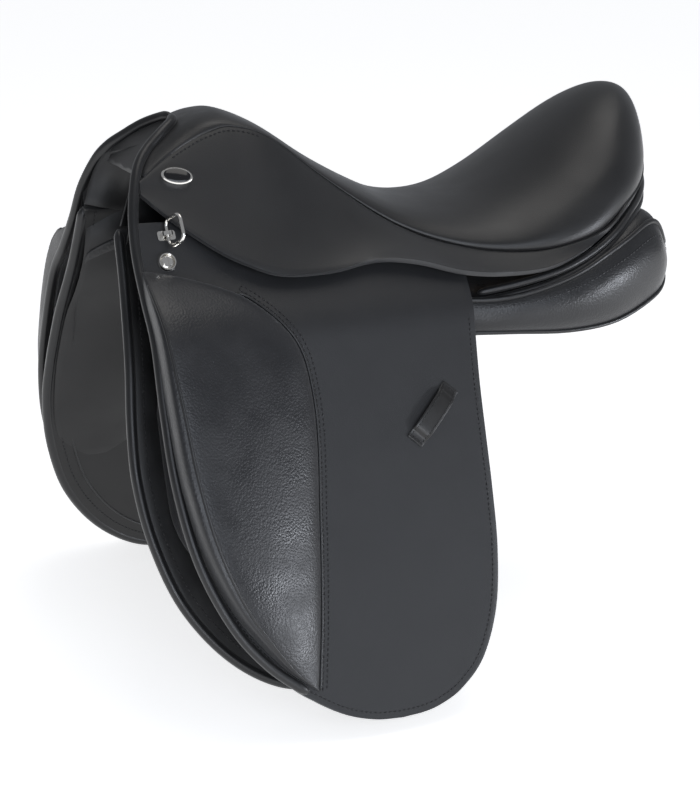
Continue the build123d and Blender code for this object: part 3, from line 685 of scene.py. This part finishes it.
# ---------------------------------------------------------------- keepers
# Along the strap: distance from its middle, height off the flap.
KEEPER_PROFILE = [(-29, 0.3), (-25, 0.4), (-22, 1.2), (-19, 3.6), (-14, 5.0), (0, 5.6), (14, 5.0), (19, 3.6),
                  (22, 1.2), (25, 0.4), (29, 0.3)]
KEEPER_STITCHES = even([(-26.5, -5.8), (26.5, -5.8), (26.5, 5.8), (-26.5, 5.8), (-26.5, -5.8)], 1.5)
for side in SIDES:
    centre, normal = on_face(FLAP_FACE, 49, -96)
    down = np.cross([1.0, 0, 0], normal)
    down = down if down[2] < 0 else -down
    long = np.array([1.0, 0, 0]) + down
    long /= np.linalg.norm(long)
    wide = np.cross(normal, long)
    run = catmull(KEEPER_PROFILE, 5)
    rows = [[centre + long * a + normal * (b + 1.2) + wide * w for w in np.linspace(-8, 8, 7)]
            for a, b in run]
    keeper = grid(side_name("keeper", side), [to_side(r, side) for r in rows], [strap_leather, edge_paint])
    facing(keeper, (0, side, 0.4))
    thicken(keeper, 2.0, 0.6, RIM)
    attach(keeper, side_name("flap", side))
    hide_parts(side_name("flap_keeper", side))
    lifts = np.interp(KEEPER_STITCHES[:, 0], run[:, 0], run[:, 1])
    pts = np.array([centre + long * a + wide * w + normal * (h + 1.35)
                    for (a, w), h in zip(KEEPER_STITCHES, lifts)])
    row = stitch_run(side_name("keeper_stitch", side), to_side(pts, side),
                     to_side(np.tile(normal, (len(pts), 1)), side), thread, length=1.8, gap=1.0, width=0.35)
    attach(row, side_name("flap", side))


# ---------------------------------------------------------------- sweat flaps
SWEAT_FRONT = [(276, 58), (278, 25), (281, -5), (287, -50), (292, -95), (293, -135), (286, -182), (268, -232),
               (236, -275), (196, -303), (150, -314)]
SWEAT_REAR = [(180, 54), (110, 20), (58, -22), (36, -60), (30, -110), (30, -160), (34, -215), (48, -262),
              (76, -297), (112, -311), (150, -314)]


def sweat_table():
    front, rear = catmull(SWEAT_FRONT, 6), catmull(SWEAT_REAR, 6)
    share = np.linspace(0, 1, 30)[:, None]
    return [[on_face(SWEAT_FACE, x, z)[0] for x, z in f * (1 - share) + r * share]
            for f, r in zip(front, rear)]


for side in SIDES:
    sweat = grid(side_name("sweat_sheet", side), [to_side(r, side) for r in sweat_table()],
                 [lining_leather, edge_paint])
    facing(sweat, (0, side, 0.4))
    thicken(sweat, SWEAT_THICKNESS, 1.2, RIM)
    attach(sweat, "tree")
    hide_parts(side_name("sweat_flap", side))
    outline = np.vstack([catmull(SWEAT_FRONT, 8), catmull(SWEAT_REAR[::-1], 8)[1:]])[:-30]
    pts, _ = lay_on(SWEAT_FACE, outline, -2.6)
    welt = tube(side_name("sweat_welt", side), to_side(pts, side), 4.6, welt_leather)
    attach(welt, "tree")
    inner_line = inset_line(even(outline, 2.0), SWEAT_MIDDLE, 10.0)
    for label, off in (("out", 0.2), ("in", -6.5)):
        pts, ups = lay_on(SWEAT_FACE, inner_line, off)
        ups = ups if off > 0 else -ups
        row = stitch_run(side_name(f"sweat_stitch_{label}", side), to_side(pts, side), to_side(ups, side),
                         thread)
        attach(row, "tree")
    roll = inset_line(even(outline, 2.0), SWEAT_MIDDLE, 19.0)[6:-6]
    pts, _ = lay_on(SWEAT_FACE, roll, -6.6)
    seam = tube(side_name("sweat_roll_seam", side), to_side(pts, side), 0.9, welt_leather, sides=8)
    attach(seam, "tree")


# ---------------------------------------------------------------- linings
# The head's lining, in rows from the front welt back under the arch, from the centre plane outwards.
LINING = [
    [(211, 0, 134), (219, 0, 122), (227, 0, 108), (222, 0, 101), (198, 0, 100), (166, 0, 100)],
    [(217, 12, 131), (223, 11, 120), (229, 10, 107), (224, 10, 99.5), (198, 10, 98.5), (166, 10, 98.5)],
    [(230, 23, 125), (231, 21, 115), (232, 20, 103), (226, 19, 95.5), (198, 19, 94.5), (166, 19, 94.5)],
    [(244, 31, 115.5), (240, 29, 107), (236, 28, 96), (229, 27, 88), (198, 27, 86.5), (166, 27, 86)],
    [(256, 40, 105), (250, 37, 97), (242, 34, 87), (232, 33, 79), (198, 33, 76), (166, 33, 75)],
    [(266, 46, 88), (258, 42, 81), (246, 39, 73), (234, 38, 67), (198, 38, 64), (166, 38, 62)],
    [(275, 46, 60), (262, 42, 57), (248, 41, 54), (234, 41, 52), (200, 41, 50), (166, 41, 48)],
]
half = catmull([catmull(row, 4) for row in LINING], 4)
whole = np.vstack([half[::-1], half[1:] * np.array([1.0, -1.0, 1.0])])
lining = grid("head_lining", whole, lining_leather)
facing(lining, (0, 0, -1))
thicken(lining, 1.6, 0.4)
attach(lining, "tree")


# Leather under the tree's slope behind the head, and under its rise to the cantle.
for name, half_width, line in (
    ("slope_lining_front", 39, [(168, 99), (154, 93.5), (143, 88.5), (124, 78.5), (108, 68.5), (93, 58.5),
                                (77, 48.5), (60, 38.5), (43, 28.5), (30, 20.5)]),
    ("slope_lining_rear", 46, [(-218, 53), (-213, 47), (-203.5, 37.5), (-182, 27.5), (-160, 17.3),
                               (-140, 11.5), (-122, 7.2), (-112, 4.6)]),
):
    rows = [[(x, y, z) for y in np.linspace(-half_width, half_width, 12)] for x, z in catmull(line, 3)]
    slope = grid(name, rows, lining_leather)
    facing(slope, (0, 0, -1))
    thicken(slope, 1.2, 0.3)
    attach(slope, "tree")


# Leather over the tree's point on each side, between the lining and the flap.
POINT_INNER = [(229, 24, 92), (231, 31, 84), (232, 36, 74), (232, 40, 66), (232, 48.5, 59), (232, 57, 40),
               (232, 66, 19)]
POINT_OUTER = [(229, 43, 101), (231, 50, 93), (232, 57, 81), (232, 62, 72), (232, 66.5, 62), (232, 77, 41),
               (232, 89, 21)]
for side in SIDES:
    inner, outer = catmull(POINT_INNER, 4), catmull(POINT_OUTER, 4)
    rows = [[a * (1 - t) + b * t + np.array([1.8 * math.sin(math.pi * t), 0, 0]) for t in np.linspace(0, 1,
                                                                                                      8)]
            for a, b in zip(inner, outer)]
    point = grid(side_name("point_cover", side), [to_side(r, side) for r in rows], lining_leather)
    facing(point, (1, 0, 0))
    thicken(point, 1.6, 0.4)
    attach(point, "tree")


# ---------------------------------------------------------------- thigh blocks
# x, top, bottom, thickness
THIGH_STATIONS = [(190, -100, -170, 3), (196, -82, -196, 14), (208, -66, -210, 26), (226, -55, -218, 33),
                  (246, -51, -212, 34), (260, -55, -196, 30), (268, -64, -178, 20), (271, -80, -160, 5)]


def thigh_rows():
    """Rounded sections of the block, which stands on the sweat flap."""
    rows = []
    for x, top, low, thick in THIGH_STATIONS:
        middle = (top + low) / 2
        reach = (top - low) / 2
        ring = []
        for turn in range(20):
            angle = 2 * math.pi * turn / 20
            c, s = math.cos(angle), math.sin(angle)
            z = middle + reach * math.copysign(abs(c) ** 0.55, c)
            lift = thick / 2 * (1 + math.copysign(abs(s) ** 0.6, s))
            ring.append(on_face(SWEAT_FACE, x, z, 0.4 + lift)[0])
        rows.append(ring)
    return catmull(rows, 3)


for side in SIDES:
    block = grid(side_name("thigh_pad", side), [to_side(r, side) for r in thigh_rows()], grain_leather,
                 closed_v=True, cap=True)
    soften(block)
    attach(block, "tree")
    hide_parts(side_name("thigh_block", side))


# ---------------------------------------------------------------- panels
def under_sweat(z):
    """Distance from the centre plane of the panel where it lies against the sweat flap."""
    return on_face(SWEAT_FACE, 0, z, -8.5)[0][1]


# x, then (y, z) round the section: channel edge, top, outer side, bottom and inner side.
PANEL_STATIONS = [
    (-229, [(60, -3), (70, 1), (77, -6), (73, -18), (64, -16), (58, -10)]),
    (-223, [(51, 5), (78, 13), (94, -7), (86, -30), (58, -25), (45, -11)]),
    (-204, [(40, 28), (84, 36), (109, 5), (99, -43), (55, -37), (37, -8)]),
    (-160, [(36, 12), (100, 22), (124, -10), (108, -57), (52, -48), (34, -14)]),
    (-110, [(35, -2), (106, 0), (127, -26), (111, -58), (50, -46), (33, -19)]),
    (-50, [(35, -5), (104, -14), (120, -33), (108, -52), (50, -40), (33, -20)]),
    (0, [(35, -5), (90, -14), (103, -30), (97, -52), (50, -39), (33, -20)]),
    (28, [(35, -5), (62, -5), (under_sweat(-20), -20), (under_sweat(-62), -62), (53, -50), (33, -22)]),
    (90, [(35, 1), (54, 7), (under_sweat(-20), -20), (under_sweat(-76), -76), (64, -70), (35, -24)]),
    (160, [(35, 6), (52, 12), (under_sweat(-24), -24), (under_sweat(-104), -104), (78, -105), (42, -26)]),
    (215, [(39, 20), (46, 25), (under_sweat(-24), -24), (under_sweat(-142), -142),
           (under_sweat(-110) - 11, -108), (under_sweat(-24) - 14, -24)]),
    (248, [(42, 22), (47, 26), (under_sweat(-20), -20), (under_sweat(-138), -138),
           (under_sweat(-104) - 7, -100), (under_sweat(-24) - 9, -24)]),
    (276, [(53, 10), (56, 12), (under_sweat(-20), -20), (under_sweat(-128), -128),
           (under_sweat(-98) - 2.5, -94), (under_sweat(-24) - 3, -24)]),
]


PANEL_ROWS = catmull([catmull([(x, y, z) for y, z in ring], 6, closed=True) for x, ring in PANEL_STATIONS], 5)
for side in SIDES:
    panel = grid(side_name("panel_pad", side), [to_side(r, side) for r in PANEL_ROWS], panel_leather,
                 closed_v=True, cap=True)
    soften(panel)
    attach(panel, "tree")
    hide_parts(side_name("panel", side))
    rear = [row for row in PANEL_ROWS if row[0][0] < 34]  # behind the sweat flap
    for label, column, radius in (("top", 8, 2.6), ("low", 17, 2.2)):
        line = np.array([row[column] for row in rear])
        welt = tube(side_name(f"panel_welt_{label}", side), to_side(line, side), radius, welt_leather)
        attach(welt, "tree")
    line, ups = [], []
    for a, b in zip(rear, rear[1:]):
        line.append(a[10])
        n = np.cross(a[11] - a[9], b[10] - a[10])
        n = n if n[1] > 0 else -n
        ups.append(n / np.linalg.norm(n))
    row = stitch_run(side_name("panel_stitch", side), to_side(np.array(line) + np.array(ups) * 0.3, side),
                     to_side(ups, side), pale_thread, length=2.4, gap=1.8, width=0.4)
    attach(row, "tree")


# Leather facing over each panel's front, from the arch down onto the sweat flap.
FACING_INNER = [(229, 25, 91), (232, 33, 81), (234, 37, 71), (231, 39, 58), (224, 38, 40), (214, 37, 22),
                (212, 48, 0), (212, 61, -24), (212, 74, -50), (212, 91, -95), (212, 109, -135),
                (212, 125.5, -165), (212, 142, -198)]
FACING_OUTER = [(240, 45, 104), (253, 52, 95), (264, 59, 83), (270, 64, 69), (272, 54, 52), (274, 50, 30),
                (276, 57, 2), (279, 72, -24), (283, 89, -50), (288, 104.5, -95), (288, 118, -135),
                (284, 128.5, -165), (271, 142, -198)]
for side in SIDES:
    inner, outer = catmull(FACING_INNER, 4), catmull(FACING_OUTER, 4)
    rows = []
    for a, b in zip(inner, outer):
        swell = np.array([1.0, -2.4, 0.0])
        rows.append([a * (1 - t) + b * t + swell * math.sin(math.pi * t) for t in np.linspace(0, 1, 12)])
    front_facing = grid(side_name("panel_facing", side), [to_side(r, side) for r in rows], lining_leather)
    facing(front_facing, (0.5, -side, 0))
    thicken(front_facing, 1.4, 0.4)
    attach(front_facing, "tree")


# ---------------------------------------------------------------- cantle: facing and its two rolled bands
for label, radius, points in (
    ("upper", 3.4, [(-24, 104, -15), (-60, 111, -9), (-98, 114.5, -1), (-130, 112, 10), (-158, 105, 24),
                    (-182, 91, 38), (-203, 73, 48), (-219, 51, 57), (-229, 27, 64), (-233, 0, 67)]),
    ("lower", 3.2, [(-14, 104, -24), (-52, 112, -18), (-92, 116, -10), (-126, 114, 1), (-155, 107, 15),
                    (-180, 93, 30), (-202, 75, 40), (-218, 52, 49), (-228, 27, 56), (-232, 0, 59)]),
):
    half = catmull(points, 8)
    whole = np.vstack([half, mirrored(half[:-1])[::-1]])
    band = tube(f"cantle_band_{label}", whole, radius, welt_leather)
    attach(band, "tree")
facing_rows = []
for (x, y, z) in catmull([(-118, 108, 9), (-150, 101, 20), (-172, 90, 34), (-194, 73, 46), (-209, 52, 56),
                          (-220, 27, 64), (-224, 0, 68)], 5):
    facing_rows.append([(x, y, z + 8), (x * 0.995, y * 0.99, z - 2), (x * 0.985, y * 0.96, z - 14),
                        (x * 0.96, y * 0.9, z - 26)])
facing_rows = np.array(facing_rows)
whole = np.vstack([facing_rows, facing_rows[:-1][::-1] * np.array([1.0, -1.0, 1.0])])
cantle = grid("cantle_cover", whole, skirt_leather)
facing(cantle, (-1, 0, 0))
thicken(cantle, 2.5, 0.6)
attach(cantle, "tree")
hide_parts("cantle_facing")


# ---------------------------------------------------------------- straps and hidden soft pieces
for side in SIDES:
    for place in ("front", "rear"):
        node = side_name(f"billet_{place}", side)
        strap = soft_copy(side_name(f"billet_strap_{place}", side), node, strap_leather, 0.7)
        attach(strap, node)
        node = side_name(f"girth_web_{place}", side)
        web = soft_copy(side_name(f"girth_webbing_{place}", side), node, webbing, 0.3)
        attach(web, "tree")
for name, node, material, slot_name in (
    ("channel_lining", "gullet_lining", lining_leather, "lining_leather"),
    ("seat_web_lengthwise", "webbing_lengthwise", webbing, "webbing"),
    ("seat_web_crosswise", "webbing_crosswise", webbing, "webbing"),
):
    piece = soft_copy(name, node, material, 0.3)
    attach(piece, "tree")


# ---------------------------------------------------------------- hardware that keeps its CAD shape
def refinish(node, material, bevel):
    """A better material and slightly eased edges for a CAD node that keeps its shape."""
    obj = nodes[node]
    obj.data.materials.clear()
    obj.data.materials.append(material)
    for polygon in obj.data.polygons:
        polygon.use_smooth = True
    ease_edges(obj, bevel, 2, 30)
    obj.modifiers.new("weighted", "WEIGHTED_NORMAL").keep_sharp = True


refinish("tree", tree_wood, 0.8)
for node in ("gullet_plate", "gullet_rivets", "cantle_reinforcement", "spring_steel_left",
             "spring_steel_right"):
    refinish(node, pressed, 0.4)
for side in SIDES:
    for base in ("stirrup_bar", "bar_latch", "latch_pin"):
        refinish(side_name(base, side), forged, 0.4)
    for base in ("dee_ring", "dee_staple", "cup_washer", "flap_screw", "badge"):
        refinish(side_name(base, side), nickel, 0.15)

# A plain domed boss in each badge's ring.
for side in SIDES:
    centre = np.array([229.0, 57.5, 98.5])
    normal = np.array([0.12, 0.80, 0.59])
    normal /= np.linalg.norm(normal)
    long = np.array([-1.0, 0.25, -0.15])
    long -= normal * (long @ normal)
    long /= np.linalg.norm(long)
    wide = np.cross(normal, long)
    rows = []
    for share, lift in ((0.0, 4.0), (0.35, 3.9), (0.7, 3.55), (0.92, 3.15), (1.0, 2.8)):
        ring = []
        for turn in range(40):
            angle = 2 * math.pi * turn / 40
            across = wide * (6.3 * share * math.sin(angle))
            ring.append(centre + long * (11.6 * share * math.cos(angle)) + across + normal * lift)
        rows.append(ring)
    boss = grid(side_name("badge_boss", side), [to_side(r, side) for r in rows], enamel, closed_v=True)
    facing(boss, (0, side, 0.6))
    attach(boss, "tree")


# ---------------------------------------------------------------- studio
def area_light(name, place, target, size, power, colour):
    lamp = bpy.data.lights.new(name, "AREA")
    lamp.shape = "RECTANGLE"
    lamp.size, lamp.size_y = size
    lamp.energy = power
    lamp.color = colour
    obj = bpy.data.objects.new(name, lamp)
    scene.collection.objects.link(obj)
    obj.location = place
    obj.rotation_mode = "QUATERNION"
    obj.rotation_quaternion = (Vector(target) - Vector(place)).to_track_quat("-Z", "Y")
    obj.visible_camera = False


area_light("key", (0.35, 2.7, 0.75), (0, 0, -0.1), (1.8, 1.3), 22, (0.84, 0.90, 1.0))
area_light("top", (-0.3, 0.1, 2.2), (0, 0, 0), (1.9, 1.3), 13, (1.0, 0.97, 0.93))
area_light("low_front", (0.55, 1.9, -0.24), (0.22, 0.15, -0.2), (0.55, 0.16), 5, (0.88, 0.92, 1.0))
area_light("low_rear", (-1.25, 1.25, -0.2), (-0.16, 0.12, 0.0), (0.4, 0.24), 9, (0.88, 0.92, 1.0))

# The camera sees a white background, and the object is lit by a dimmer one.
world = bpy.data.worlds.new("studio")
scene.world = world
world.use_nodes = True
world_tree = world.node_tree
shown = world_tree.nodes["Background"]
shown.inputs["Color"].default_value = (1, 1, 1, 1)
shown.inputs["Strength"].default_value = 1.0
ambient = world_tree.nodes.new("ShaderNodeBackground")
ambient.inputs["Color"].default_value = (0.91, 0.94, 1.0, 1)
ambient.inputs["Strength"].default_value = 0.30
ray = world_tree.nodes.new("ShaderNodeLightPath")
pick = world_tree.nodes.new("ShaderNodeMixShader")
world_tree.links.new(ray.outputs["Is Camera Ray"], pick.inputs[0])
world_tree.links.new(ambient.outputs[0], pick.inputs[1])
world_tree.links.new(shown.outputs[0], pick.inputs[2])
world_tree.links.new(pick.outputs[0], world_tree.nodes["World Output"].inputs["Surface"])
scene.view_settings.view_transform = "Standard"

floor_mat, _, floor_shader = new_material("floor")
floor_shader.inputs["Base Color"].default_value = (0.93, 0.93, 0.93, 1)
floor_shader.inputs["Roughness"].default_value = 0.9
floor_shader.inputs["Emission Color"].default_value = (1, 1, 1, 1)
floor_shader.inputs["Emission Strength"].default_value = 0.7
FLOOR_Z, FLOOR_REACH = -332, 6000
corners = [(x * FLOOR_REACH, y * FLOOR_REACH, FLOOR_Z) for x, y in ((-1, -1), (1, -1), (1, 1), (-1, 1))]
floor = new_object("floor", corners, [(0, 1, 2, 3)], floor_mat, False)

# Camera: from the front and the near side, turned 25 degrees from square and 17.5 degrees above.
turn, rise, distance = math.radians(25.0), math.radians(17.5), 1.85
aim = Vector((0.0475, 0.0, -0.1314))
back = Vector((math.sin(turn) * math.cos(rise), math.cos(turn) * math.cos(rise), math.sin(rise)))
camera_data = bpy.data.cameras.new("camera")
camera = bpy.data.objects.new("camera", camera_data)
scene.collection.objects.link(camera)
camera_data.sensor_width = 36.0
camera_data.lens = 92.26
camera.location = aim + back * distance
camera.rotation_mode = "QUATERNION"
camera.rotation_quaternion = (-back).to_track_quat("-Z", "Y")
scene.camera = camera
